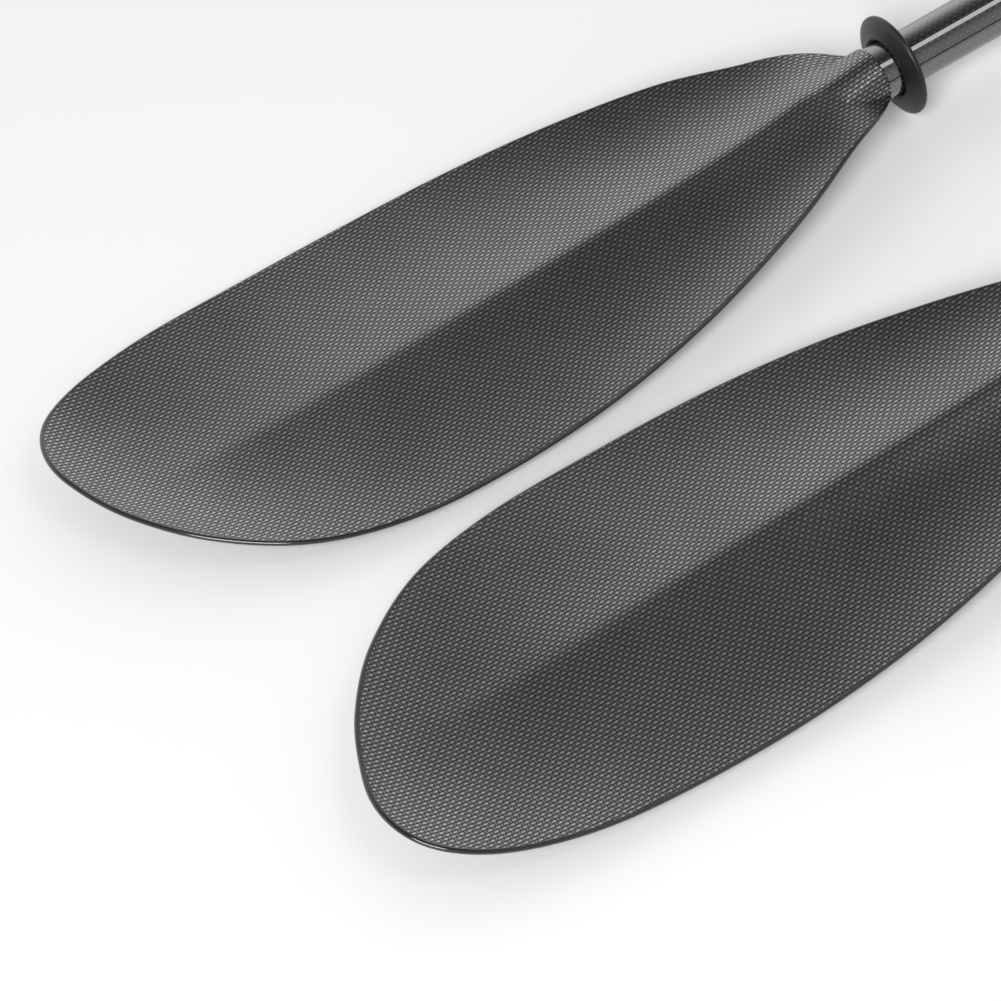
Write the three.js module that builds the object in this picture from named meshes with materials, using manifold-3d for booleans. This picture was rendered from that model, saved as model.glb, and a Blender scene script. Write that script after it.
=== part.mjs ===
// Two-piece carbon kayak paddle, its halves lying side by side, power faces up.
// Millimetres, +Z up. Each half is drawn with its tip near x = 0 and its shaft axis on y = z = 0,
// then both are laid on the floor, leaning on the blade's belly and on the drip ring.
import * as THREE from 'three';
import { mergeVertices } from 'three/addons/utils/BufferGeometryUtils.js';
import Module from 'manifold-3d';

const wasm = await Module();
wasm.setup();

// ---- driving dimensions ----
const BLADE_LENGTH = 456;
const HALF_LENGTH = 1075;        // tip to the face where the halves meet
const SHAFT_SPACING = 197.5;     // between the two shaft axes
const SHIFT_B = 30.1;            // half B lies this much further along
const LEAN = THREE.MathUtils.degToRad(2.25);   // shafts rise toward the joint
const SHAFT_RADIUS = 14.3;
const SHAFT_WALL = 1.2;
const SHAFT_IN_BLADE = 100;      // length of tube inside the blade
const BELLY_DEPTH = 5.7;         // of the back below the line between the edges
const GAP = 0.3;                 // between pieces that touch
const SKIN = 0.8;
const BEAD_RADIUS = 1.4;
const EDGE_THICKNESS = 2 * BEAD_RADIUS;
const SKIN_INSET = 2 * BEAD_RADIUS + 2 * GAP;
const NECK_RADIUS = SHAFT_RADIUS + 1.5;
const FERRULE_LENGTH = 85;       // male tube standing out of half B
const SLEEVE_LENGTH = 100;
const SLEEVE_RADIUS = SHAFT_RADIUS - SHAFT_WALL - GAP;
const BORE_RADIUS = SLEEVE_RADIUS - 1;
const INSERT_RADIUS = BORE_RADIUS - 0.35;
const INSERT_BORE = 9;
const CLOSED_GAP = 0.4;          // left between the two shaft ends when closed
const CARRY_GAP = 10;            // between the ends before the ferrule goes in
const INSERT_TRAVEL = FERRULE_LENGTH + CARRY_GAP - CLOSED_GAP;
const RING_RADIUS = 27.3;
const RING_LIP = 7.8;            // from the blade's end to the ring's lip
const BUTTON_RADIUS = 3;
const BUTTON_FROM_FACE = 45;
const BUTTON_TOP = SHAFT_RADIUS + 0.3;
const FEATHER_ANGLES = [-60, 0, 60];
const ROUND = 32;                // facets round a tube
const GRID_ROWS = 20;            // facets along a blade
const GRID_COLUMNS = 14;         // facets across a blade

const carbon = { color: 0x34363a, roughness: 0.42, metalness: 0.1 };
const gloss = { color: 0x1d1e20, roughness: 0.12, metalness: 0.1 };
const MATERIALS = {
  carbon_face: new THREE.MeshStandardMaterial(carbon),
  carbon_back: new THREE.MeshStandardMaterial(carbon),
  carbon_tube: new THREE.MeshStandardMaterial(gloss),
  edge_resin: new THREE.MeshStandardMaterial({ color: 0x101112, roughness: 0.2 }),
  core_foam: new THREE.MeshStandardMaterial({ color: 0xd8cfa8, roughness: 0.9 }),
  ring_rubber: new THREE.MeshStandardMaterial({ color: 0x1b1b1c, roughness: 0.5 }),
  glass_tube: new THREE.MeshStandardMaterial({ color: 0x2b2c26, roughness: 0.35 }),
  plug_foam: new THREE.MeshStandardMaterial({ color: 0x9a9a94, roughness: 0.9 }),
  plug_plastic: new THREE.MeshStandardMaterial({ color: 0x202124, roughness: 0.45 }),
  steel: new THREE.MeshStandardMaterial({ color: 0xb8babd, roughness: 0.25, metalness: 1 }),
};

// ---- blade shape ----
// Stations from the tip to the neck: distance from the tip, long edge, short edge.
const STATIONS = [
  [-1.4, 28.8, 28.8], [3.3, 48.7, 7.1], [17, 64, -21.6], [42, 76.7, -51.3],
  [80, 86, -76.6], [128, 89.8, -89.3], [185, 90.7, -91.5], [245, 87.3, -88],
  [305, 78, -77.5], [365, 62.2, -59.8], [410, 41.9, -42], [440, 28.6, -28],
  [BLADE_LENGTH, NECK_RADIUS, -NECK_RADIUS],
];
const outline = new THREE.SplineCurve([
  ...STATIONS.slice(1).reverse().map(([x, , low]) => new THREE.Vector2(x, low)),
  ...STATIONS.map(([x, high]) => new THREE.Vector2(x, high)),
]);

const smooth = (from, to, x) => THREE.MathUtils.smoothstep(x, from, to);
const softMax = (a, b, k) => (a + b + Math.hypot(a - b, k)) / 2;
const softMin = (a, b, k) => -softMax(-a, -b, k);

// s runs 0 at the tip to 1 at the neck; side is +1 on the long edge and -1 on the short one.
function rim(s, side, inset = 0) {
  const t = 0.5 + 0.5 * side * s;
  const point = outline.getPoint(t);
  const tangent = outline.getTangent(t);
  return point.add(new THREE.Vector2(tangent.y, -tangent.x).multiplyScalar(inset));
}

// Height of the blade along its length: a spoon whose slanted tip curls up.
function spoon(x, v) {
  const t = x / BLADE_LENGTH;
  const curl = 39.7 * Math.exp(-(x + 0.243 * v) / 43.3);
  return curl - 20.3 + 74 * t - 58.1 * t ** 2 - 60.3 * t ** 3 + 87.6 * t ** 4;
}

// The crease between the two facets runs a little to the short edge's side of the shaft's axis.
function fromCrease(x, v) {
  const aside = 2.1 * THREE.MathUtils.clamp(x / 150, 0, 1);
  return v + aside * THREE.MathUtils.clamp((BLADE_LENGTH - x) / 80, 0, 1);
}

// Height of the power face: two hollow facets falling from the crease, with the neck's roof.
function face(x, v) {
  const t = x / BLADE_LENGTH;
  const w = fromCrease(x, v);
  const slope = -0.031 + 0.633 * t - 0.082 * t * t;
  const hollow = (0.237 - 0.853 * t + 1.563 * t * t) / 100;
  const fall = slope * (Math.hypot(w, 4) - 4);
  const level = smooth(BLADE_LENGTH - 48, BLADE_LENGTH, x);
  const flat = THREE.MathUtils.lerp(spoon(x, v) - fall + hollow * w * w, EDGE_THICKNESS / 2, level);
  const round = Math.sqrt(Math.max(NECK_RADIUS ** 2 - v * v, 0));
  const roof = NECK_RADIUS + 0.4 - 0.13 * (BLADE_LENGTH - x) - fall;
  return softMax(flat, softMin(round, roof, 1), 1.5);
}

// Height of the back: a shallow belly between the edges, with the spine over the tube.
function back(x, v) {
  const [low, high] = edges(x);
  const across = THREE.MathUtils.clamp((v - low) / (high - low), 0, 1);
  const chord = THREE.MathUtils.lerp(face(x, low), face(x, high), across);
  const depth = BELLY_DEPTH * smooth(-20, 90, x) * (1 - smooth(BLADE_LENGTH - 90, BLADE_LENGTH, x));
  const belly = chord - EDGE_THICKNESS - 4 * depth * across * (1 - across);
  const thin = face(x, v) - EDGE_THICKNESS;
  const spineEnd = BLADE_LENGTH - SHAFT_IN_BLADE - 15;
  const fade = 0.11 * Math.max(spineEnd - x, 0);
  const wide = NECK_RADIUS + 2.5 * (1 - smooth(BLADE_LENGTH - 40, BLADE_LENGTH, x));
  const beside = 2 * Math.max(Math.abs(v) - wide, 0);
  const spine = fade + beside - NECK_RADIUS * Math.sqrt(Math.max(1 - (v / wide) ** 2, 0));
  return softMin(softMin(belly, thin, 0.4), spine, 2);
}

// The short and the long edge at x, from the stations, at least 16 mm apart.
function edges(x) {
  const i = Math.max(1, STATIONS.findIndex((station) => station[0] >= x));
  const [x0, high0, low0] = STATIONS[i - 1];
  const [x1, high1, low1] = STATIONS[i];
  const t = THREE.MathUtils.clamp((x - x0) / (x1 - x0), 0, 1);
  const high = THREE.MathUtils.lerp(high0, high1, t);
  const low = THREE.MathUtils.lerp(low0, low1, t);
  const more = Math.max(16 - (high - low), 0) / 2;
  return [low - more, high + more];
}

// ---- solids ----
function weld(geometry) {
  geometry.deleteAttribute('normal');
  geometry.deleteAttribute('uv');
  return mergeVertices(geometry, 1e-4);
}

function faceted(geometry) {
  const flat = weld(geometry).toNonIndexed();
  flat.computeVertexNormals();
  return flat;
}

function toManifold(geometry) {
  const welded = weld(geometry.clone());
  return new wasm.Manifold(new wasm.Mesh({
    numProp: 3,
    vertProperties: Float32Array.from(welded.attributes.position.array),
    triVerts: Uint32Array.from(welded.index.array),
  }));
}

function fromManifold(solid) {
  const mesh = solid.getMesh();
  const geometry = new THREE.BufferGeometry();
  geometry.setAttribute('position', new THREE.BufferAttribute(Float32Array.from(mesh.vertProperties), 3));
  geometry.setIndex(Array.from(mesh.triVerts));
  geometry.computeVertexNormals();
  return geometry;
}

function cut(geometry, tools) {
  const solid = tools.reduce((left, tool) => left.subtract(toManifold(tool)), toManifold(geometry));
  return fromManifold(solid);
}

// A profile of (x, radius) points turned round the X axis; its outer side runs toward +X.
function turned(points, segments = ROUND) {
  const profile = [...points, points[0]].map(([x, r]) => new THREE.Vector2(r, x));
  return new THREE.LatheGeometry(profile, segments).rotateZ(-Math.PI / 2);
}

function tube(x0, x1, outer, inner) {
  return turned([[x0, inner], [x0, outer], [x1, outer], [x1, inner]]);
}

function rod(x0, x1, radius, segments = ROUND) {
  return new THREE.CylinderGeometry(radius, radius, x1 - x0, segments)
    .rotateZ(-Math.PI / 2)
    .translate((x0 + x1) / 2, 0, 0);
}

// A drilling tool that leaves the axis at the feather angle.
function drill(x, radius, angle) {
  return new THREE.CylinderGeometry(radius, radius, 12, 20)
    .rotateX(Math.PI / 2)
    .translate(0, 0, 13)
    .rotateX(THREE.MathUtils.degToRad(angle))
    .translate(x, 0, 0);
}

// How far a skin stops inside the rim: clear of the bead, then out to the neck's seam.
const skinInset = (s) => THREE.MathUtils.lerp(SKIN_INSET, 0.15, smooth(0.93, 0.965, s));

// A point of the blade's grid; across runs -1 on the short edge to 1 on the long edge.
// Columns crowd toward the centre line, where the ridge and the spine are.
function gridPoint(s, across) {
  const high = rim(s, 1, skinInset(s));
  const low = rim(s, -1, skinInset(s));
  const centre = high.clone().lerp(low, 0.5);
  centre.y *= 1 - smooth(0, 0.4, s);
  const edge = across > 0 ? high : low;
  const reach = Math.abs(edge.y - centre.y);
  const near = Math.min(NECK_RADIUS / reach, 1);
  const part = near * Math.abs(across) + (1 - near) * Math.abs(across) ** 2.4;
  return centre.lerp(edge, part);
}

// A plate between two height functions, over the first rows of the blade's grid.
// The box's +X end is the blade's tip.
function plate(top, bottom, rows = GRID_ROWS) {
  const geometry = new THREE.BoxGeometry(1, 1, 1, rows, GRID_COLUMNS, 1);
  const position = geometry.attributes.position;
  for (let i = 0; i < position.count; i += 1) {
    const row = (0.5 - position.getX(i)) * rows;
    const point = gridPoint(THREE.MathUtils.lerp(0.05, 1, row / GRID_ROWS), position.getY(i) * -2);
    const height = position.getZ(i) > 0 ? top : bottom;
    position.setXYZ(i, point.x, point.y, height(point.x, point.y));
  }
  matchDiagonals(geometry);
  return geometry;
}

// Splits the quads underneath along the same diagonals as those on top, so that stacked
// plates stay parallel.
function matchDiagonals(geometry) {
  const index = geometry.index.array;
  const { start, count } = geometry.groups[5];
  for (let i = start; i < start + count; i += 6) {
    const [a, b, d, , c] = index.slice(i, i + 6);
    index.set([a, b, c, a, c, d], i);
  }
}

// ---- the pieces of one half ----
function faceSkin() {
  return plate(face, (x, v) => face(x, v) - SKIN);
}

function backSkin() {
  return plate((x, v) => back(x, v) + SKIN, back);
}

function core() {
  const clear = SKIN + GAP;
  const top = (x, v) => face(x, v) - clear;
  const bottom = (x, v) => back(x, v) + clear;
  const solid = plate(top, bottom, GRID_ROWS - 3);
  const slotStart = BLADE_LENGTH - SHAFT_IN_BLADE - 8;
  const slot = new THREE.BoxGeometry(200, 2 * (NECK_RADIUS + 1), 80).translate(slotStart + 100, 0, 0);
  return cut(solid, [slot]);
}

function edgeBead() {
  const points = [];
  for (let i = -48; i <= 48; i += 1) {
    const s = 0.905 * Math.abs(i) / 48;
    const point = rim(s, i < 0 ? -1 : 1, BEAD_RADIUS);
    points.push(new THREE.Vector3(point.x, point.y, face(point.x, point.y) - BEAD_RADIUS));
  }
  const section = new THREE.Shape().absarc(0, 0, BEAD_RADIUS, 0, 2 * Math.PI);
  const path = new THREE.CatmullRomCurve3(points);
  return new THREE.ExtrudeGeometry(section, { steps: 84, curveSegments: 3, extrudePath: path });
}

// The tube's end inside the blade is scarfed, so it stays under the power face.
function scarf() {
  const start = BLADE_LENGTH - SHAFT_IN_BLADE;
  const shape = new THREE.Shape();
  shape.moveTo(start - 20, -0.4);
  shape.lineTo(start, 0.2);
  shape.lineTo(BLADE_LENGTH - 40, 1.8);
  shape.lineTo(BLADE_LENGTH - 20, 3);
  shape.lineTo(BLADE_LENGTH - 8, 7);
  shape.lineTo(BLADE_LENGTH - 3, 10.2);
  shape.lineTo(BLADE_LENGTH, 15.4);
  shape.lineTo(start - 20, 15.4);
  return new THREE.ExtrudeGeometry(shape, { depth: 60, bevelEnabled: false })
    .rotateX(Math.PI / 2)
    .translate(0, 30, 0);
}

function shaft(holes) {
  const whole = tube(BLADE_LENGTH - SHAFT_IN_BLADE, HALF_LENGTH, SHAFT_RADIUS, SHAFT_RADIUS - SHAFT_WALL);
  return cut(whole, [scarf(), ...holes]);
}

function dripRing() {
  const bore = SHAFT_RADIUS + GAP;
  const profile = [
    [0, 16.7], [1, 19.5], [2.4, 24.6], [3.4, RING_RADIUS - 0.3], [4.4, RING_RADIUS],
    [5.6, RING_RADIUS - 0.2], [6.2, RING_RADIUS - 1.1], [5, 23], [4.5, 19.2], [4.9, 17],
    [7.2, 16.2], [7.8, 15.6], [7.8, bore], [3, bore], [0.6, 16],
  ];
  return turned(profile);
}

function shaftPlug() {
  return rod(HALF_LENGTH - SLEEVE_LENGTH - 40, HALF_LENGTH - SLEEVE_LENGTH - 15, SLEEVE_RADIUS);
}

// ---- the ferrule ----
const buttonX = HALF_LENGTH + BUTTON_FROM_FACE;
const holeX = HALF_LENGTH - BUTTON_FROM_FACE + CLOSED_GAP;

function sleeve() {
  const whole = tube(HALF_LENGTH - SLEEVE_LENGTH, HALF_LENGTH, SLEEVE_RADIUS, BORE_RADIUS);
  return cut(whole, FEATHER_ANGLES.map((angle) => drill(holeX, BUTTON_RADIUS + 0.7, angle)));
}

function insert() {
  const end = HALF_LENGTH + FERRULE_LENGTH - 2.1;
  const groove = HALF_LENGTH + 6;
  const floor = INSERT_RADIUS - 1.35;
  const profile = [
    [HALF_LENGTH - 90, INSERT_BORE], [HALF_LENGTH - 90, SLEEVE_RADIUS], [HALF_LENGTH, SLEEVE_RADIUS],
    [HALF_LENGTH, INSERT_RADIUS], [groove - 1, INSERT_RADIUS], [groove - 1, floor], [groove + 1, floor],
    [groove + 1, INSERT_RADIUS], [end - 0.6, INSERT_RADIUS], [end, INSERT_RADIUS - 0.6], [end, INSERT_BORE],
  ];
  return cut(turned(profile), [drill(buttonX, BUTTON_RADIUS + 0.3, 0)]);
}

function oRing() {
  const points = [];
  for (let i = 0; i < 8; i += 1) {
    const angle = -2 * Math.PI * i / 8;
    points.push([HALF_LENGTH + 6 + 0.6 * Math.cos(angle), INSERT_RADIUS - 0.42 + 0.6 * Math.sin(angle)]);
  }
  return turned(points);
}

function ferrulePlug() {
  const end = HALF_LENGTH + FERRULE_LENGTH;
  const profile = [
    [end - 14, 0], [end - 14, 8.2], [end - 13.4, 8.7], [end - 1.8, 8.7],
    [end - 1.8, INSERT_RADIUS - 0.2], [end - 0.6, INSERT_RADIUS - 0.2], [end, INSERT_RADIUS - 0.9], [end, 0],
  ];
  return turned(profile);
}

function snapButton() {
  const top = BUTTON_TOP;
  const profile = [
    [6.6, 0], [6.6, 4.2], [7.6, 4.2], [7.6, BUTTON_RADIUS], [top - 1.2, BUTTON_RADIUS],
    [top - 0.4, BUTTON_RADIUS - 0.6], [top, BUTTON_RADIUS - 1.6], [top, 0],
  ];
  return turned(profile, 24).rotateY(-Math.PI / 2).translate(buttonX, 0, 0);
}

// A bent strip: the upper leg carries the button, the lower one bears on the far wall.
function snapSpring() {
  const strip = 0.6;
  const shape = new THREE.Shape();
  shape.moveTo(buttonX + 6, 6.3);
  shape.lineTo(buttonX - 22, 6.3);
  shape.quadraticCurveTo(buttonX - 30, 5.8, buttonX - 30, 1.8);
  shape.quadraticCurveTo(buttonX - 30, -2, buttonX - 22, -2.4);
  shape.lineTo(buttonX + 2, -4.4);
  shape.lineTo(buttonX + 2, -4.4 + strip);
  shape.lineTo(buttonX - 22, -2.4 + strip);
  shape.quadraticCurveTo(buttonX - 30 + strip, -2 + strip, buttonX - 30 + strip, 1.8);
  shape.quadraticCurveTo(buttonX - 30 + strip, 5.8 - strip, buttonX - 22, 6.3 - strip);
  shape.lineTo(buttonX + 6, 6.3 - strip);
  return new THREE.ExtrudeGeometry(shape, { depth: 7, bevelEnabled: false, curveSegments: 4 })
    .rotateX(Math.PI / 2)
    .translate(0, 3.5, 0);
}

// ---- assembly ----
function mesh(name, geometry, material) {
  const piece = new THREE.Mesh(faceted(geometry), MATERIALS[material]);
  piece.name = name;
  return piece;
}

// Half B is half A seen in a mirror.
function mirrored(geometry) {
  const image = weld(geometry).scale(1, -1, 1);
  const order = image.index.array;
  for (let i = 0; i < order.length; i += 3) {
    [order[i], order[i + 1]] = [order[i + 1], order[i]];
  }
  return image;
}

function half(letter, ringAt, extraPieces) {
  const seen = letter === 'a' ? (geometry) => geometry : mirrored;
  const holes = letter === 'a'
    ? FEATHER_ANGLES.map((angle) => drill(holeX, BUTTON_RADIUS + 0.7, angle))
    : [];
  const ring = mesh(`drip_ring_${letter}`, dripRing(), 'ring_rubber');
  ring.position.x = ringAt;
  const group = new THREE.Group();
  group.add(
    mesh(`blade_${letter}_face_skin`, seen(faceSkin()), 'carbon_face'),
    mesh(`blade_${letter}_back_skin`, seen(backSkin()), 'carbon_back'),
    mesh(`blade_${letter}_core`, seen(core()), 'core_foam'),
    mesh(`blade_${letter}_edge_bead`, seen(edgeBead()), 'edge_resin'),
    mesh(`shaft_${letter}`, shaft(holes), 'carbon_tube'),
    mesh(`shaft_plug_${letter}`, shaftPlug(), 'plug_foam'),
    ring,
    ...extraPieces,
  );
  return group;
}

const ringA = BLADE_LENGTH + RING_LIP;
const halfA = half('a', ringA, [
  mesh('ferrule_sleeve', sleeve(), 'glass_tube'),
]);
const halfB = half('b', ringA + INSERT_TRAVEL, [
  mesh('ferrule_insert', insert(), 'glass_tube'),
  mesh('ferrule_o_ring', oRing(), 'ring_rubber'),
  mesh('ferrule_plug', ferrulePlug(), 'plug_plastic'),
  mesh('snap_button', snapButton(), 'steel'),
  mesh('snap_spring', snapSpring(), 'steel'),
]);
halfA.position.set(0, SHAFT_SPACING / 2, 0);
halfB.position.set(SHIFT_B, -SHAFT_SPACING / 2, 0);

const paddle = new THREE.Group();
paddle.add(halfA, halfB);
paddle.rotation.y = -LEAN;

// Rest on the floor, centred over the origin.
const bounds = new THREE.Box3().setFromObject(paddle, true);
const middle = bounds.getCenter(new THREE.Vector3());
paddle.position.set(-middle.x, -middle.y, -bounds.min.z);

const part = new THREE.Group();
part.add(paddle);

export default part;
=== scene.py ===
import math

import bpy
import numpy as np
from mathutils import Matrix, Vector


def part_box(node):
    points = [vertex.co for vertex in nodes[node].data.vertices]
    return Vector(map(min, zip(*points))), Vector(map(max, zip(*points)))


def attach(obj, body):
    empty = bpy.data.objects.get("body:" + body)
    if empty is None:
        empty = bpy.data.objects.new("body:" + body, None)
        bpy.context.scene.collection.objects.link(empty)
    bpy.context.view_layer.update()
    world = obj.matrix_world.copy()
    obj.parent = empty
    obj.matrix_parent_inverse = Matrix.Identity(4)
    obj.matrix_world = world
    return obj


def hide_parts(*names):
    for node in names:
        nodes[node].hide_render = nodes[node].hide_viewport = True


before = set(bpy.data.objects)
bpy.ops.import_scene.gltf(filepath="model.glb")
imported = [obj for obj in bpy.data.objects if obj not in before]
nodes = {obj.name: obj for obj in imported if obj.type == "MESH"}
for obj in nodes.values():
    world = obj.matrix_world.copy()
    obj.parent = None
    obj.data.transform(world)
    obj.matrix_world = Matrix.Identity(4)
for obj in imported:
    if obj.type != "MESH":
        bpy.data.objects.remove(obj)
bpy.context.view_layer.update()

# ---- the CAD's driving dimensions, in millimetres ----
# Each half is drawn with its tip near x = 0 and its shaft axis on y = z = 0.
BLADE_LENGTH = 456
HALF_LENGTH = 1075
SHAFT_SPACING = 197.5
SHIFT_B = 30.1
LEAN = math.radians(2.25)
SHAFT_RADIUS = 14.3
SHAFT_WALL = 1.2
SHAFT_IN_BLADE = 100
SKIN = 0.8
BELLY_DEPTH = 5.7
BEAD_RADIUS = 1.4
EDGE_THICKNESS = 2 * BEAD_RADIUS
NECK_RADIUS = SHAFT_RADIUS + 1.5
FERRULE_LENGTH = 85
SLEEVE_LENGTH = 100
SLEEVE_RADIUS = 12.8
BORE_RADIUS = 11.8
INSERT_RADIUS = 11.45
INSERT_BORE = 9
CLOSED_GAP = 0.4
CARRY_GAP = 10
INSERT_TRAVEL = FERRULE_LENGTH + CARRY_GAP - CLOSED_GAP
RING_RADIUS = 27.3
RING_LIP = 7.8
RING_A = BLADE_LENGTH + RING_LIP
BUTTON_RADIUS = 3
BUTTON_FROM_FACE = 45
BUTTON_TOP = SHAFT_RADIUS + 0.3
BUTTON_X = HALF_LENGTH + BUTTON_FROM_FACE
HOLE_X = HALF_LENGTH - BUTTON_FROM_FACE + CLOSED_GAP
FEATHER_ANGLES = (-60, 0, 60)
BUTTON_HOLE = BUTTON_RADIUS + 0.7
GROOVE_X = HALF_LENGTH + 6
INSERT_BACK = HALF_LENGTH - 90

# ---- looks ----
TOW = 2.02                 # width of a tow in the plain weave
CLOTH_TURN = math.radians(-1)
TUBE_COAT_IOR = 2.4
ROWS = 150
COLUMNS = 72
ROUND = 128

# Stations from the tip to the neck: distance from the tip, long edge, short edge.
STATIONS = [
    (-1.4, 28.8, 28.8), (3.3, 48.7, 7.1), (17, 64, -21.6), (42, 76.7, -51.3),
    (80, 86, -76.6), (128, 89.8, -89.3), (185, 90.7, -91.5), (245, 87.3, -88),
    (305, 78, -77.5), (365, 62.2, -59.8), (410, 41.9, -42), (440, 28.6, -28),
    (BLADE_LENGTH, NECK_RADIUS, -NECK_RADIUS),
]
OUTLINE = np.array(
    [(x, low) for x, high, low in STATIONS[:0:-1]] + [(x, high) for x, high, low in STATIONS],
    float,
)


# ---- placing a half in the CAD's frame ----
def turned_up(points):
    """Half frame to the leaning frame, still in millimetres."""
    c, s = math.cos(LEAN), math.sin(LEAN)
    x, y, z = points.T
    return np.stack([x * c - z * s, y, x * s + z * c], 1)


def find_origin():
    """The leaning frame's origin, from the far end of half A's shaft."""
    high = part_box("shaft_a")[1]
    low_corner = turned_up(np.array([[HALF_LENGTH, 0, -SHAFT_RADIUS]], float))[0]
    high_corner = turned_up(np.array([[HALF_LENGTH, 0, SHAFT_RADIUS]], float))[0]
    return np.array([high.x - low_corner[0] / 1000, 0, high.z - high_corner[2] / 1000])


ORIGIN = find_origin()


def placed(points, half):
    points = np.array(points, float).reshape(-1, 3)
    if half == "b":
        points = points * [1, -1, 1] + [SHIFT_B, -SHAFT_SPACING / 2, 0]
    else:
        points = points + [0, SHAFT_SPACING / 2, 0]
    return turned_up(points) / 1000 + ORIGIN


# ---- blade shape ----
def smooth(start, end, x):
    t = np.clip((x - start) / (end - start), 0, 1)
    return t * t * (3 - 2 * t)


def soft_max(a, b, k):
    return (a + b + np.hypot(a - b, k)) / 2


def soft_min(a, b, k):
    return -soft_max(-a, -b, k)


def outline_at(t):
    """A point of the outline's spline, t from 0 on the short edge's neck to 1 on the long edge's."""
    last = len(OUTLINE) - 1
    p = np.clip(t, 0, 1) * last
    i = np.minimum(p.astype(int), last - 1)
    w = (p - i)[:, None]
    p0, p1 = OUTLINE[np.maximum(i - 1, 0)], OUTLINE[i]
    p2, p3 = OUTLINE[i + 1], OUTLINE[np.minimum(i + 2, last)]
    v0, v1 = (p2 - p0) / 2, (p3 - p1) / 2
    return (2 * p1 - 2 * p2 + v0 + v1) * w**3 + (-3 * p1 + 3 * p2 - 2 * v0 - v1) * w**2 + v0 * w + p1


def rim(s, side, inset=0):
    """s runs 0 at the tip to 1 at the neck; side is 1 on the long edge and -1 on the short one."""
    t = 0.5 + 0.5 * side * s
    run = outline_at(t + 1e-4) - outline_at(t - 1e-4)
    run /= np.linalg.norm(run, axis=1)[:, None]
    inward = np.stack([run[:, 1], -run[:, 0]], 1)
    return outline_at(t) + inward * np.reshape(inset, (-1, 1))


def edges(x):
    """The short and the long edge at x, at least 16 mm apart."""
    at, high, low = np.array(STATIONS, float).T
    high, low = np.interp(x, at, high), np.interp(x, at, low)
    more = np.maximum(16 - (high - low), 0) / 2
    return low - more, high + more


def spoon(x, v):
    """Height of the blade along its length: a spoon whose slanted tip curls up."""
    t = x / BLADE_LENGTH
    curl = 39.7 * np.exp(-(x + 0.243 * v) / 43.3)
    return curl - 20.3 + 74 * t - 58.1 * t**2 - 60.3 * t**3 + 87.6 * t**4


def face(x, v):
    """Height of the power face: two hollow facets falling from a crease, with the neck's roof."""
    t = x / BLADE_LENGTH
    w = v + 2.1 * np.clip(x / 150, 0, 1) * np.clip((BLADE_LENGTH - x) / 80, 0, 1)
    slope = -0.031 + 0.633 * t - 0.082 * t * t
    hollow = (0.237 - 0.853 * t + 1.563 * t * t) / 100
    fall = slope * (np.hypot(w, 4) - 4)
    level = smooth(BLADE_LENGTH - 48, BLADE_LENGTH, x)
    flat = (spoon(x, v) - fall + hollow * w * w) * (1 - level) + EDGE_THICKNESS / 2 * level
    tube = np.sqrt(np.maximum(NECK_RADIUS**2 - v * v, 0))
    roof = NECK_RADIUS + 0.4 - 0.13 * (BLADE_LENGTH - x) - fall
    return soft_max(flat, soft_min(tube, roof, 1), 1.5)


def back(x, v):
    """Height of the back: a shallow belly between the edges, with the spine over the tube."""
    low, high = edges(x)
    across = np.clip((v - low) / (high - low), 0, 1)
    chord = face(x, low) * (1 - across) + face(x, high) * across
    depth = BELLY_DEPTH * smooth(-20, 90, x) * (1 - smooth(BLADE_LENGTH - 90, BLADE_LENGTH, x))
    belly = chord - EDGE_THICKNESS - 4 * depth * across * (1 - across)
    thin = face(x, v) - EDGE_THICKNESS
    fade = 0.11 * np.maximum(BLADE_LENGTH - SHAFT_IN_BLADE - 15 - x, 0)
    wide = NECK_RADIUS + 2.5 * (1 - smooth(BLADE_LENGTH - 40, BLADE_LENGTH, x))
    beside = 2 * np.maximum(np.abs(v) - wide, 0)
    spine = fade + beside - NECK_RADIUS * np.sqrt(np.maximum(1 - (v / wide) ** 2, 0))
    return soft_min(soft_min(belly, thin, 0.4), spine, 2)


def neck_round(x):
    """How far a skin's surface turns in at the blade's end, a quarter round."""
    t = np.clip((x - BLADE_LENGTH + 1.2) / 1.2, 0, 1)
    return 1.2 * (1 - np.sqrt(1 - t * t))


def blade_grid():
    """Plan positions of a skin's grid: rows from tip to neck, columns from the short edge to the long."""
    k = np.linspace(0, 1, ROWS + 1)
    s = 0.004 + 0.996 * (k - 0.055 * np.sin(2 * math.pi * k))
    across = np.linspace(-1, 1, COLUMNS + 1)
    inset = BEAD_RADIUS * (1 - 0.85 * smooth(0.93, 0.985, s))
    high, low = rim(s, 1, inset), rim(s, -1, inset)
    centre = (high + low) / 2
    centre[:, 1] *= 1 - smooth(0, 0.4, s)
    grid = np.zeros((ROWS + 1, COLUMNS + 1, 2))
    for j, a in enumerate(across):
        edge = high if a > 0 else low
        reach = np.maximum(np.abs(edge[:, 1] - centre[:, 1]), 1e-6)
        near = np.minimum(NECK_RADIUS / reach, 1)
        crowd = near * abs(a) + (1 - near) * abs(a) ** 2.4
        turn = smooth(0.88, 0.96, s)
        part = crowd * (1 - turn) + math.sin(abs(a) * math.pi / 2) * turn
        grid[:, j] = centre + (edge - centre) * part[:, None]
    return grid


GRID = blade_grid()


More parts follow.
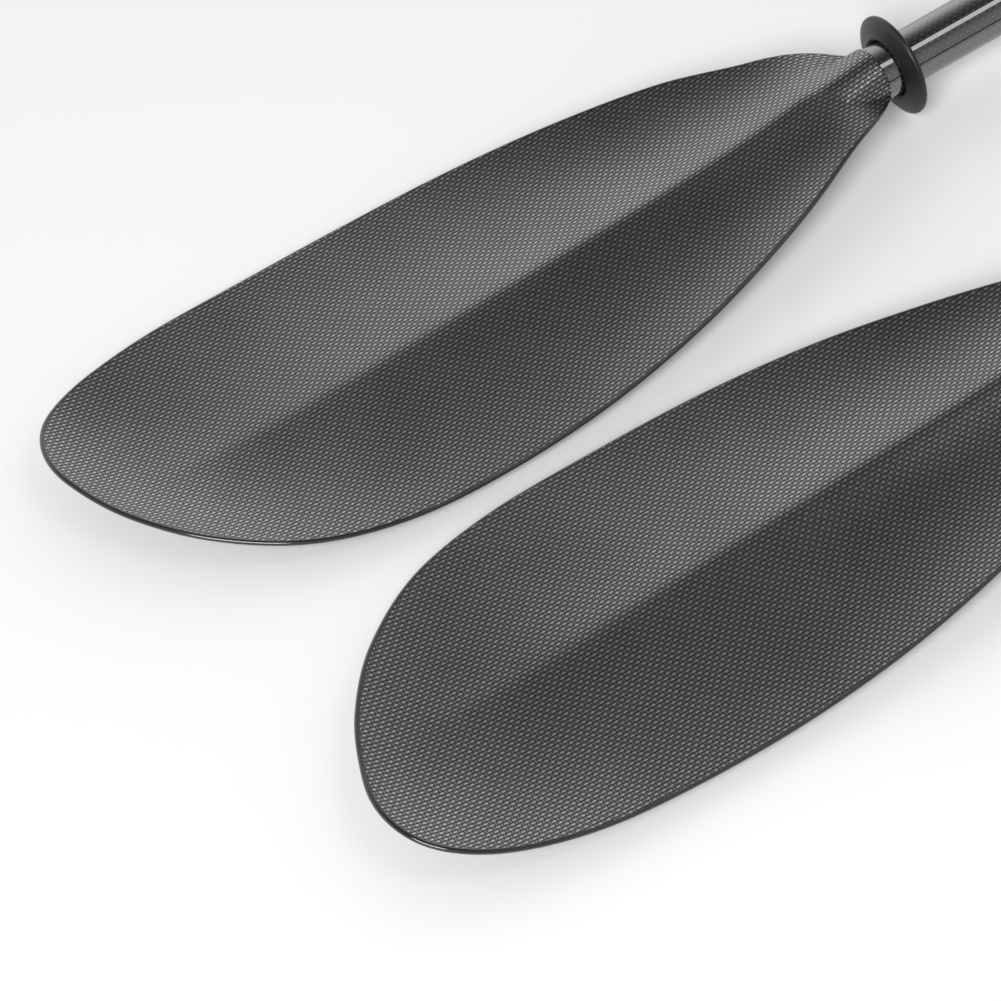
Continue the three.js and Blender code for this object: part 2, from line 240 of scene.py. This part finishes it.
# ---- meshes ----
def add_piece(name, points, faces, half, body, material, uvs=None, sharp=35, covers=()):
    """A mesh piece made from half-frame points, with a weave map in metres where uvs are given."""
    if half == "b":
        faces = [tuple(reversed(f)) for f in faces]
        uvs = [list(reversed(f)) for f in uvs] if uvs is not None else None
    mesh = bpy.data.meshes.new(name)
    mesh.from_pydata([tuple(p) for p in placed(points, half)], [], faces)
    if uvs is not None:
        layer = mesh.uv_layers.new(name="weave")
        flat = np.array([c for f in uvs for c in f], np.float32)
        layer.data.foreach_set("uv", flat.ravel())
    mesh.validate()
    mesh.shade_smooth()
    mesh.set_sharp_from_angle(angle=math.radians(sharp))
    mesh.materials.append(material)
    obj = bpy.data.objects.new(name, mesh)
    bpy.context.scene.collection.objects.link(obj)
    return finish_piece(obj, body, covers)


def finish_piece(obj, body, covers):
    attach(obj, body)
    if covers:
        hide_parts(*covers)
    return obj


def plate(name, top, bottom, half, body, material, covers, turn):
    """A closed skin between two heights over the blade's grid; its map lies along the blade."""
    rows, columns = GRID.shape[:2]
    plan = GRID.reshape(-1, 2)
    upper = np.column_stack([plan, top(plan[:, 0], plan[:, 1])])
    lower = np.column_stack([plan, bottom(plan[:, 0], plan[:, 1])])
    count = len(plan)
    faces = []
    for i in range(rows - 1):
        for j in range(columns - 1):
            a, b = i * columns + j, i * columns + j + 1
            c, d = a + columns, b + columns
            faces.append((a, c, d, b))
            faces.append((a + count, b + count, d + count, c + count))
    ring = list(range(columns))
    ring += [i * columns + columns - 1 for i in range(1, rows)]
    ring += [(rows - 1) * columns + j for j in range(columns - 2, -1, -1)]
    ring += [i * columns for i in range(rows - 2, 0, -1)]
    for a, b in zip(ring, ring[1:] + ring[:1]):
        faces.append((a, b, b + count, a + count))
    c, s = math.cos(turn), math.sin(turn)
    points = np.vstack([upper, lower])
    flat = np.vstack([unrolled(upper, rows, columns), unrolled(lower, rows, columns)])
    uvs = [[((flat[i][0] * c - flat[i][1] * s) / 1000,
             (flat[i][0] * s + flat[i][1] * c) / 1000) for i in f] for f in faces]
    return add_piece(name, points, faces, half, body, material, uvs, 50, covers)


def unrolled(points, rows, columns):
    """Where each point of a grid lies on the cloth: along the spoon, and across from the middle."""
    along = np.linspace(-5, BLADE_LENGTH, 462)
    height = spoon(along, 0 * along)
    length = np.concatenate([[0], np.cumsum(np.hypot(np.diff(along), np.diff(height)))])
    grid = points.reshape(rows, columns, 3)
    step = np.diff(grid[:, :, 1:], axis=1)
    across = np.concatenate([np.zeros((rows, 1)), np.cumsum(np.hypot(*step.transpose(2, 0, 1)), 1)], 1)
    middle = columns // 2
    across += grid[:, middle:middle + 1, 1] - across[:, middle:middle + 1]
    return np.column_stack([np.interp(points[:, 0], along, length), across.ravel()])


def lathe(name, profile, half, body, material, covers=(), offset=0.0, segments=ROUND,
          sharp=35, cuts=()):
    """A closed profile of (x, radius) turned round the shaft's axis; points on the axis are poles."""
    points, rings = [], []
    for x, r in profile:
        if r < 1e-6:
            rings.append([len(points)] * segments)
            points.append((x + offset, 0, 0))
            continue
        rings.append(list(range(len(points), len(points) + segments)))
        for k in range(segments):
            angle = 2 * math.pi * k / segments
            points.append((x + offset, r * math.sin(angle), r * math.cos(angle)))
    along = [0.0]
    closed = profile + [profile[0]]
    for (x0, r0), (x1, r1) in zip(closed, closed[1:]):
        along.append(along[-1] + math.hypot(x1 - x0, r1 - r0))
    widest = max(r for x, r in profile)
    tows = round(2 * math.pi * widest / TOW / 2) * 2
    faces, uvs = [], []
    for i in range(len(profile)):
        near, far = rings[i], rings[(i + 1) % len(profile)]
        for k in range(segments):
            m = (k + 1) % segments
            corners = [(near[k], i, k), (near[m], i, k + 1), (far[m], i + 1, k + 1), (far[k], i + 1, k)]
            kept = [c for n, c in enumerate(corners) if c[0] not in [q[0] for q in corners[:n]]]
            if len(kept) < 3:
                continue
            faces.append(tuple(c[0] for c in kept))
            uvs.append([(along[c[1]] / 1000, c[2] / segments * tows * TOW / 1000) for c in kept])
    if signed_volume(points, faces) < 0:
        faces = [tuple(reversed(f)) for f in faces]
        uvs = [list(reversed(f)) for f in uvs]
    obj = add_piece(name, points, faces, half, body, material, uvs, sharp, covers)
    if cuts:
        cut_holes(obj, cuts, half, sharp)
    return obj


def signed_volume(points, faces):
    p = np.array(points, float)
    total = 0.0
    for f in faces:
        for i in range(1, len(f) - 1):
            total += np.dot(p[f[0]], np.cross(p[f[i]], p[f[i + 1]]))
    return total / 6


def facing_out(points, faces):
    """The same faces, turned over if they look inward."""
    if signed_volume(points, faces) < 0:
        return [tuple(reversed(f)) for f in faces]
    return faces


def cut_holes(obj, cuts, half, sharp):
    """Drills round holes that leave the axis at an angle; each cut is (x, radius, degrees)."""
    for x, radius, degrees in cuts:
        tool = drill(x, radius, degrees, half)
        boolean = obj.modifiers.new("hole", "BOOLEAN")
        boolean.operation = "DIFFERENCE"
        boolean.solver = "EXACT"
        boolean.object = tool
        bpy.context.view_layer.objects.active = obj
        with bpy.context.temp_override(object=obj, active_object=obj):
            bpy.ops.object.modifier_apply(modifier=boolean.name)
        bpy.data.objects.remove(tool)
    obj.data.shade_smooth()
    obj.data.set_sharp_from_angle(angle=math.radians(sharp))


def drill(x, radius, degrees, half, sides=48):
    lift = math.radians(degrees)
    outward = np.array([0, math.sin(lift), math.cos(lift)])
    aside = np.array([0, math.cos(lift), -math.sin(lift)])
    points = []
    for depth in (5, 22):
        for k in range(sides):
            angle = 2 * math.pi * k / sides
            point = np.array([x, 0, 0]) + outward * depth
            point = point + np.array([1, 0, 0]) * radius * math.cos(angle)
            points.append(point + aside * radius * math.sin(angle))
    faces = [(k, (k + 1) % sides, sides + (k + 1) % sides, sides + k) for k in range(sides)]
    faces += [tuple(range(sides))[::-1], tuple(range(sides, 2 * sides))]
    faces = facing_out(points, faces)
    if half == "b":
        faces = [tuple(reversed(f)) for f in faces]
    mesh = bpy.data.meshes.new("drill")
    mesh.from_pydata([tuple(p) for p in placed(points, half)], [], faces)
    obj = bpy.data.objects.new("drill", mesh)
    bpy.context.scene.collection.objects.link(obj)
    return obj


def filleted(profile, radius, steps=5):
    """Rounds each corner of a closed profile; corners on the axis stay."""
    out = []
    count = len(profile)
    for i, (x, r) in enumerate(profile):
        corner = np.array([x, r], float)
        if r < 1e-6:
            out.append((x, r))
            continue
        before = np.array(profile[i - 1], float) - corner
        after = np.array(profile[(i + 1) % count], float) - corner
        size = radius[i] if isinstance(radius, (list, tuple)) else radius
        reach = min(size, 0.45 * np.linalg.norm(before), 0.45 * np.linalg.norm(after))
        if reach < 1e-3:
            out.append((x, r))
            continue
        start = corner + before / np.linalg.norm(before) * reach
        end = corner + after / np.linalg.norm(after) * reach
        for k in range(steps + 1):
            t = k / steps
            point = (1 - t) ** 2 * start + 2 * t * (1 - t) * corner + t * t * end
            out.append((float(point[0]), float(point[1])))
    return out


# ---- node helpers ----
class Graph:
    """A material's nodes, made in short calls."""

    def __init__(self, name):
        self.material = bpy.data.materials.new(name)
        self.material.use_nodes = True
        self.tree = self.material.node_tree
        self.tree.nodes.clear()
        self.shader = self.tree.nodes.new("ShaderNodeBsdfPrincipled")
        output = self.tree.nodes.new("ShaderNodeOutputMaterial")
        self.link(self.shader.outputs[0], output.inputs["Surface"])

    def link(self, source, target):
        self.tree.links.new(source, target)

    def feed(self, socket, value):
        if isinstance(value, bpy.types.NodeSocket):
            self.link(value, socket)
        else:
            socket.default_value = value

    def math(self, operation, a, b=0.0, c=0.0):
        node = self.tree.nodes.new("ShaderNodeMath")
        node.operation = operation
        for socket, value in zip(node.inputs, (a, b, c)):
            self.feed(socket, value)
        return node.outputs[0]

    def mix(self, factor, a, b):
        """Between two numbers."""
        node = self.tree.nodes.new("ShaderNodeMix")
        node.data_type = "FLOAT"
        for socket, value in zip(node.inputs[:1] + node.inputs[2:4], (factor, a, b)):
            self.feed(socket, value)
        return node.outputs[0]

    def tint(self, factor, a, b):
        """Between two colours."""
        node = self.tree.nodes.new("ShaderNodeMix")
        node.data_type = "RGBA"
        self.feed(node.inputs[0], factor)
        self.feed(node.inputs[6], a)
        self.feed(node.inputs[7], b)
        return node.outputs[2]

    def noise(self, vector, scale, detail, rough=0.5):
        node = self.tree.nodes.new("ShaderNodeTexNoise")
        node.inputs["Scale"].default_value = scale
        node.inputs["Detail"].default_value = detail
        node.inputs["Roughness"].default_value = rough
        self.link(vector, node.inputs["Vector"])
        return node.outputs[0]

    def spread(self, value, low, high, to_low, to_high):
        node = self.tree.nodes.new("ShaderNodeMapRange")
        node.clamp = True
        for socket, number in zip(node.inputs, (value, low, high, to_low, to_high)):
            self.feed(socket, number)
        return node.outputs[0]

    def place(self, x, y, z=0.0):
        node = self.tree.nodes.new("ShaderNodeCombineXYZ")
        for socket, value in zip(node.inputs, (x, y, z)):
            self.feed(socket, value)
        return node.outputs[0]

    def object_position(self):
        return self.tree.nodes.new("ShaderNodeTexCoord").outputs["Object"]

    def bump(self, height, distance):
        node = self.tree.nodes.new("ShaderNodeBump")
        node.inputs["Strength"].default_value = 1.0
        node.inputs["Distance"].default_value = distance
        self.link(height, node.inputs["Height"])
        return node.outputs[0]


def grey(value):
    return (value, value, value, 1)


def weave(name, warp, weft, rough, metallic, relief, coat=0.0, coat_rough=0.05):
    """Plain-woven carbon: square tows over and under, each with a painted highlight, a bright band along
    its crown.

    warp and weft are each (ground, painted highlight) greys.
    """
    g = Graph(name)
    uv = g.tree.nodes.new("ShaderNodeUVMap")
    uv.uv_map = "weave"
    split = g.tree.nodes.new("ShaderNodeSeparateXYZ")
    g.link(uv.outputs[0], split.inputs[0])
    u = g.math("MULTIPLY", split.outputs[0], 1000 / TOW)
    v = g.math("MULTIPLY", split.outputs[1], 1000 / TOW)
    cell_u, cell_v = g.math("FLOOR", u), g.math("FLOOR", v)
    odd = g.math("FLOORED_MODULO", g.math("ADD", cell_u, cell_v), 2.0)
    in_u, in_v = g.math("FRACT", u), g.math("FRACT", v)
    across = g.mix(odd, in_v, in_u)
    along = g.mix(odd, in_u, in_v)

    def arch(value, power):
        """1 in the tow's middle, 0 at its sides."""
        far = g.math("ABSOLUTE", g.math("MULTIPLY_ADD", value, 2.0, -1.0))
        return g.math("SUBTRACT", 1.0, g.math("POWER", far, power))

    body = arch(across, 4.0)
    dip = arch(along, 2.0)
    height = g.math("MULTIPLY", body, g.math("MULTIPLY_ADD", dip, 0.6, 0.4))
    fibre = g.noise(
        g.place(
            g.math("MULTIPLY_ADD", across, 14.0, g.math("MULTIPLY", cell_u, 7.13)),
            g.math("MULTIPLY_ADD", along, 0.9, g.math("MULTIPLY", cell_v, 3.71)),
            g.math("MULTIPLY", odd, 5.3),
        ),
        1.0, 2.0,
    )
    broad = g.noise(g.place(split.outputs[0], split.outputs[1]), 22.0, 2.0)
    # Painted highlight: a bright band down the middle of each tow, fading where the tow dips under its
    # neighbour.
    off_middle = g.math("ABSOLUTE", g.math("MULTIPLY_ADD", across, 2.0, -1.0))
    painted_highlight = g.math(
        "MULTIPLY",
        g.spread(off_middle, 0.0, 0.6, 1.0, 0.0),
        g.spread(dip, 0.0, 0.6, 0.35, 1.0),
    )
    # Painted shade: darker in the seams between the tows that run along the shaft, and where the weave's
    # relief is low.
    painted_seam_shade = g.math(
        "MULTIPLY",
        g.spread(arch(in_v, 2.0), 0.0, 0.6, 0.22, 1.0),
        g.spread(height, 0.0, 0.4, 0.8, 1.0),
    )
    # Random fibre and broad tone, times the painted shade in the seams and dips.
    shade = g.math(
        "MULTIPLY",
        g.spread(fibre, 0.25, 0.75, 0.8, 1.2),
        g.math("MULTIPLY", g.spread(broad, 0.3, 0.7, 0.93, 1.07), painted_seam_shade),
    )
    # Painted reflection: warp and weft are the same fibre, and the warp's lighter greys stand in for how
    # each direction of fibre reflects the light.
    ground = g.tint(odd, grey(warp[0]), grey(weft[0]))
    # bright holds the greys of the painted highlight.
    bright = g.tint(odd, grey(warp[1]), grey(weft[1]))
    node = g.tree.nodes.new("ShaderNodeMix")
    node.data_type = "RGBA"
    node.blend_type = "MULTIPLY"
    node.inputs[0].default_value = 1.0
    g.link(g.tint(painted_highlight, ground, bright), node.inputs[6])
    g.link(shade, node.inputs[7])
    g.link(node.outputs[2], g.shader.inputs["Base Color"])
    smudge = g.noise(g.object_position(), 9.0, 4.0)
    wear = g.math(
        "ADD",
        g.spread(smudge, 0.3, 0.7, -0.04, 0.05),
        g.spread(fibre, 0.3, 0.7, -0.04, 0.04),
    )
    g.link(g.math("ADD", wear, rough), g.shader.inputs["Roughness"])
    g.shader.inputs["Metallic"].default_value = metallic
    g.link(g.bump(height, relief / 1000), g.shader.inputs["Normal"])
    if coat:
        g.shader.inputs["Coat Weight"].default_value = coat
        g.shader.inputs["Coat Roughness"].default_value = coat_rough
        g.shader.inputs["Coat IOR"].default_value = TUBE_COAT_IOR
    return g.material


def solid(name, colour, rough, scale, contrast=0.12, relief=0.05, metallic=0.0, coat=0.0,
          stretch=(1, 1, 1), rough_spread=0.06):
    """A moulded, cast or drawn material: fine surface grain over a slow variation of colour and gloss."""
    g = Graph(name)
    mapping = g.tree.nodes.new("ShaderNodeMapping")
    mapping.inputs["Scale"].default_value = stretch
    g.link(g.object_position(), mapping.inputs["Vector"])
    grain = g.noise(mapping.outputs[0], scale, 4.0, 0.6)
    slow = g.noise(g.object_position(), 30.0, 2.0)
    dark = tuple(c * (1 - contrast) for c in colour[:3]) + (1,)
    light = tuple(min(c * (1 + contrast), 1) for c in colour[:3]) + (1,)
    mixed = g.math("MULTIPLY_ADD", grain, 0.6, g.math("MULTIPLY", slow, 0.4))
    g.link(g.tint(g.spread(mixed, 0.3, 0.7, 0.0, 1.0), dark, light), g.shader.inputs["Base Color"])
    gloss = g.spread(slow, 0.3, 0.7, rough - rough_spread, rough + rough_spread)
    g.link(gloss, g.shader.inputs["Roughness"])
    g.shader.inputs["Metallic"].default_value = metallic
    g.link(g.bump(grain, relief / 1000), g.shader.inputs["Normal"])
    if coat:
        g.shader.inputs["Coat Weight"].default_value = coat
        g.shader.inputs["Coat Roughness"].default_value = 0.06
    return g.material


MATERIALS = {
    # In each weave the warp greys are lighter than the weft greys as painted reflection; the second grey
    # of each pair is the painted highlight.
    "carbon_face": weave("carbon_face", (0.105, 0.52), (0.088, 0.225), 0.29, 0.9, 0.07),
    "carbon_back": weave("carbon_back", (0.098, 0.48), (0.082, 0.21), 0.33, 0.9, 0.07),
    "carbon_tube": weave("carbon_tube", (0.028, 0.065), (0.010, 0.022), 0.36, 0.6, 0.06, 1.0, 0.03),
    "edge_resin": solid("edge_resin", grey(0.014), 0.16, 900, 0.2, 0.01, 0.0, 0.6),
    "core_foam": solid("core_foam", grey(0.026), 0.5, 700, 0.15, 0.05),
    "ring_rubber": solid("ring_rubber", grey(0.011), 0.36, 1400, 0.18, 0.02),
    "glass_tube": solid("glass_tube", (0.034, 0.036, 0.027, 1), 0.30, 260, 0.3, 0.02, 0.0, 0.5,
                        (0.12, 1, 1)),
    "plug_foam": solid("plug_foam", grey(0.33), 0.92, 900, 0.1, 0.25),
    "plug_plastic": solid("plug_plastic", grey(0.022), 0.42, 1200, 0.12, 0.02),
    "steel": solid("steel", grey(0.62), 0.24, 500, 0.05, 0.008, 1.0, 0.0, (0.2, 1, 1), 0.05),
}


# ---- the pieces of one half ----
def edge_bead(half, body):
    """The resin bead round the blade's rim, from one side of the neck past the tip to the other."""
    k = np.linspace(-1, 1, 401)
    s = np.abs(k) * 0.985
    side = np.where(k < 0, -1, 1)
    plan = rim(s, side, np.full_like(s, BEAD_RADIUS))
    height = face(plan[:, 0], plan[:, 1]) - BEAD_RADIUS
    centres = np.column_stack([plan, height])
    run = np.gradient(centres, axis=0)
    run /= np.linalg.norm(run, axis=1)[:, None]
    aside = np.cross(run, [0, 0, 1])
    aside /= np.linalg.norm(aside, axis=1)[:, None]
    up = np.cross(aside, run)
    sides = 16
    fade = np.sqrt(np.clip((1 - np.abs(k)) / 0.012, 0.02, 1))
    points, faces = [], []
    for i in range(len(k)):
        for n in range(sides):
            angle = 2 * math.pi * n / sides
            reach = BEAD_RADIUS * fade[i]
            points.append(centres[i] + reach * (math.cos(angle) * aside[i] + math.sin(angle) * up[i]))
    for i in range(len(k) - 1):
        for n in range(sides):
            m = (n + 1) % sides
            faces.append((i * sides + n, i * sides + m, (i + 1) * sides + m, (i + 1) * sides + n))
    last = (len(k) - 1) * sides
    faces.append(tuple(range(sides))[::-1])
    faces.append(tuple(last + n for n in range(sides)))
    faces = facing_out(points, faces)
    return add_piece(f"edge_{half}", points, faces, half, body,
                     MATERIALS["edge_resin"], None, 60, [f"blade_{half}_edge_bead"])


def blade(half, body):
    def top(x, v):
        return face(x, v) - neck_round(x)

    def under_top(x, v):
        return face(x, v) - SKIN - 0.6 * neck_round(x)

    def over_bottom(x, v):
        return back(x, v) + SKIN + 0.6 * neck_round(x)

    def bottom(x, v):
        return back(x, v) + neck_round(x)

    plate(f"face_{half}", top, under_top, half, body, MATERIALS["carbon_face"],
          [f"blade_{half}_face_skin"], CLOTH_TURN)
    plate(f"back_{half}", over_bottom, bottom, half, body, MATERIALS["carbon_back"],
          [f"blade_{half}_back_skin"], CLOTH_TURN)
    edge_bead(half, body)


def shaft(half, body):
    start = BLADE_LENGTH - 4
    inner = SHAFT_RADIUS - SHAFT_WALL
    near, far = HOLE_X - 9, HOLE_X + 9
    profile = filleted([
        (start, inner), (start, SHAFT_RADIUS), (near, SHAFT_RADIUS), (far, SHAFT_RADIUS),
        (HALF_LENGTH, SHAFT_RADIUS), (HALF_LENGTH, inner), (far, inner), (near, inner),
    ], [0.01, 0.3, 0, 0, 0.3, 0.2, 0, 0], 3)
    cuts = [(HOLE_X, BUTTON_HOLE, a) for a in FEATHER_ANGLES] if half == "a" else ()
    lathe(f"tube_{half}", profile, half, body, MATERIALS["carbon_tube"],
          [f"shaft_{half}"], cuts=cuts)


def drip_ring(half, body, at):
    profile = [
        (0, 16.7), (1, 19.5), (2.4, 24.6), (3.4, RING_RADIUS - 0.3), (4.4, RING_RADIUS),
        (5.6, RING_RADIUS - 0.2), (6.2, RING_RADIUS - 1.1), (5, 23), (4.5, 19.2), (4.9, 17),
        (7.2, 16.2), (7.8, 15.6), (7.8, SHAFT_RADIUS + 0.05), (3, SHAFT_RADIUS + 0.05), (0.6, 16),
    ]
    lathe(f"drip_cup_{half}", filleted(profile, 1.6, 6), half, body,
          MATERIALS["ring_rubber"], [f"drip_ring_{half}"], at, ROUND, 60)


def shaft_plug(half, body):
    x0, x1 = HALF_LENGTH - SLEEVE_LENGTH - 40, HALF_LENGTH - SLEEVE_LENGTH - 15
    profile = [(x0, 0), (x0, SLEEVE_RADIUS), (x1, SLEEVE_RADIUS), (x1, 0)]
    lathe(f"bulkhead_{half}", filleted(profile, 0.8), half, body,
          MATERIALS["plug_foam"], [f"shaft_plug_{half}"], segments=64)


# ---- the ferrule ----
def sleeve():
    x0, x1 = HALF_LENGTH - SLEEVE_LENGTH, HALF_LENGTH - 0.3
    profile = [(x0, BORE_RADIUS), (x0, SLEEVE_RADIUS), (x1, SLEEVE_RADIUS), (x1, BORE_RADIUS)]
    cuts = [(HOLE_X, BUTTON_HOLE, a) for a in FEATHER_ANGLES]
    lathe("socket_sleeve", filleted(profile, [0.1, 0.1, 0.1, 0.5], 3), "a", "half_a",
          MATERIALS["glass_tube"], ["ferrule_sleeve"], cuts=cuts)


def insert():
    end = HALF_LENGTH + FERRULE_LENGTH - 2.1
    floor = INSERT_RADIUS - 1.35
    profile = [
        (INSERT_BACK, INSERT_BORE), (INSERT_BACK, SLEEVE_RADIUS), (HALF_LENGTH - 0.3, SLEEVE_RADIUS),
        (HALF_LENGTH - 0.3, INSERT_RADIUS), (GROOVE_X - 1, INSERT_RADIUS), (GROOVE_X - 1, floor),
        (GROOVE_X + 1, floor), (GROOVE_X + 1, INSERT_RADIUS), (end - 0.6, INSERT_RADIUS),
        (end, INSERT_RADIUS - 0.6), (end, INSERT_BORE),
    ]
    lathe("spigot", filleted(profile, 0.15, 3), "b", "half_b",
          MATERIALS["glass_tube"], ["ferrule_insert"], cuts=[(BUTTON_X, BUTTON_RADIUS + 0.3, 0)])


def o_ring():
    steps = 20
    profile = []
    for i in range(steps):
        angle = -2 * math.pi * i / steps
        x = GROOVE_X + 0.85 * math.cos(angle)
        profile.append((x, INSERT_RADIUS - 0.42 + 0.6 * math.sin(angle)))
    lathe("seal", profile, "b", "half_b", MATERIALS["ring_rubber"], ["ferrule_o_ring"])


def end_plug():
    end = HALF_LENGTH + FERRULE_LENGTH
    profile = [
        (end - 14, 0), (end - 14, 8.2), (end - 13.4, 8.7), (end - 1.8, 8.7),
        (end - 1.8, INSERT_RADIUS - 0.2), (end - 0.6, INSERT_RADIUS - 0.2), (end, INSERT_RADIUS - 0.9),
        (end, 3), (end - 0.6, 2.4), (end - 0.6, 0),
    ]
    lathe("spigot_cap", filleted(profile, 0.5, 4), "b", "half_b",
          MATERIALS["plug_plastic"], ["ferrule_plug"])


def button():
    """Turned about its own upright axis, with a domed head."""
    top = BUTTON_TOP
    profile = filleted([
        (6.6, 0), (6.6, 4.2), (7.6, 4.2), (7.6, BUTTON_RADIUS), (top - 1.2, BUTTON_RADIUS),
        (top - 0.4, BUTTON_RADIUS - 0.6), (top, BUTTON_RADIUS - 1.6), (top, 0),
    ], 0.5, 4)
    segments = 48
    points, faces, rings = [], [], []
    for z, r in profile:
        if r < 1e-6:
            rings.append([len(points)] * segments)
            points.append((BUTTON_X, 0, z))
            continue
        rings.append(list(range(len(points), len(points) + segments)))
        for k in range(segments):
            angle = 2 * math.pi * k / segments
            points.append((BUTTON_X + r * math.cos(angle), r * math.sin(angle), z))
    for near, far in zip(rings, rings[1:] + rings[:1]):
        for k in range(segments):
            m = (k + 1) % segments
            corners = list(dict.fromkeys((near[k], near[m], far[m], far[k])))
            if len(corners) > 2:
                faces.append(tuple(corners))
    faces = facing_out(points, faces)
    add_piece("push_button", points, faces, "b", "button", MATERIALS["steel"], None, 35,
              ["snap_button"])


def dress_cad(node, material):
    """A CAD node whose shape is right keeps its mesh and gets a finished material."""
    obj = nodes[node]
    obj.data.materials.clear()
    obj.data.materials.append(MATERIALS[material])


blade("a", "half_a")
blade("b", "half_b")
shaft("a", "half_a")
shaft("b", "half_b")
drip_ring("a", "ring_a", RING_A)
drip_ring("b", "ring_b", RING_A + INSERT_TRAVEL)
shaft_plug("a", "half_a")
shaft_plug("b", "half_b")
sleeve()
insert()
o_ring()
end_plug()
button()
dress_cad("snap_spring", "steel")
dress_cad("blade_a_core", "core_foam")
dress_cad("blade_b_core", "core_foam")


# ---- floor, light and camera ----
WORLD_SIDE = (-0.1, 0.65)        # the studio brightens between these values of direction y
WORLD_STRENGTH = (0.55, 1.35)
WORLD_LOW = 1.0
WORLD_OVERHEAD = 0.08
WORLD_STOPS = ((0.42, 1.0), (0.58, 0.82), (0.8, 0.38), (0.94, 0.15))
KEY_WATTS = 100
STRIP_WATTS = 4.5


def make_floor():
    g = Graph("floor")
    slow = g.noise(g.object_position(), 1.3, 3.0)
    g.link(g.tint(slow, grey(0.90), grey(0.93)), g.shader.inputs["Base Color"])
    g.shader.inputs["Roughness"].default_value = 0.85
    mesh = bpy.data.meshes.new("floor")
    mesh.from_pydata([(-30, -30, 0), (30, -30, 0), (30, 30, 0), (-30, 30, 0)], [], [(0, 1, 2, 3)])
    mesh.materials.append(g.material)
    floor = bpy.data.objects.new("floor", mesh)
    bpy.context.scene.collection.objects.link(floor)


def make_world():
    """A studio that is bright low down, most of all beyond the paddle (+Y), and dim overhead."""
    world = bpy.data.worlds.new("studio")
    bpy.context.scene.world = world
    world.use_nodes = True
    tree = world.node_tree
    tree.nodes.clear()
    output = tree.nodes.new("ShaderNodeOutputWorld")
    background = tree.nodes.new("ShaderNodeBackground")
    where = tree.nodes.new("ShaderNodeTexCoord")
    split = tree.nodes.new("ShaderNodeSeparateXYZ")
    ramp = tree.nodes.new("ShaderNodeValToRGB")
    side = tree.nodes.new("ShaderNodeMapRange")
    tree.links.new(where.outputs["Generated"], split.inputs[0])
    tree.links.new(split.outputs[2], ramp.inputs[0])
    tree.links.new(split.outputs[1], side.inputs[0])
    for socket, value in zip(side.inputs[1:5], (*WORLD_SIDE, *WORLD_STRENGTH)):
        socket.default_value = value
    tree.links.new(ramp.outputs[0], background.inputs["Color"])
    tree.links.new(side.outputs[0], background.inputs["Strength"])
    tree.links.new(background.outputs[0], output.inputs["Surface"])
    stops = ramp.color_ramp.elements
    stops[0].position, stops[0].color = 0.0, grey(WORLD_LOW)
    stops[1].position, stops[1].color = 1.0, grey(WORLD_OVERHEAD)
    for position, value in WORLD_STOPS:
        stop = stops.new(position)
        stop.color = grey(value)


def softbox(name, location, target, width, height, power):
    light = bpy.data.lights.new(name, "AREA")
    light.shape = "RECTANGLE"
    light.size, light.size_y = width, height
    light.energy = power
    obj = bpy.data.objects.new(name, light)
    obj.location = location
    aim = Vector(target) - Vector(location)
    obj.rotation_mode = "QUATERNION"
    obj.rotation_quaternion = aim.to_track_quat("-Z", "Y")
    bpy.context.scene.collection.objects.link(obj)


CAMERA_AT = (-0.81845, -0.84249, 1.20229)
CAMERA_RIGHT = Vector((0.84478, -0.52697, -0.09300))
CAMERA_FORWARD = Vector((0.25885, 0.55453, -0.79088))
CAMERA_LENS = 116.2


def make_camera():
    data = bpy.data.cameras.new("camera")
    data.sensor_width = 36
    data.lens = CAMERA_LENS
    data.clip_start, data.clip_end = 0.05, 100
    camera = bpy.data.objects.new("camera", data)
    forward = CAMERA_FORWARD.normalized()
    right = (CAMERA_RIGHT - forward * CAMERA_RIGHT.dot(forward)).normalized()
    up = right.cross(forward)
    turn = Matrix((right, up, -forward)).transposed()
    camera.matrix_world = Matrix.Translation(CAMERA_AT) @ turn.to_4x4()
    bpy.context.scene.collection.objects.link(camera)
    bpy.context.scene.camera = camera


make_floor()
make_world()
softbox("key", (-2.2, -1.8, 2.6), (0, 0, 0), 1.6, 1.6, KEY_WATTS)
softbox("strip", (0.5, -0.65, 2.03), (0.5, 0.1, 0.03), 1.0, 0.62, STRIP_WATTS)
make_camera()
bpy.context.scene.view_settings.view_transform = "Standard"
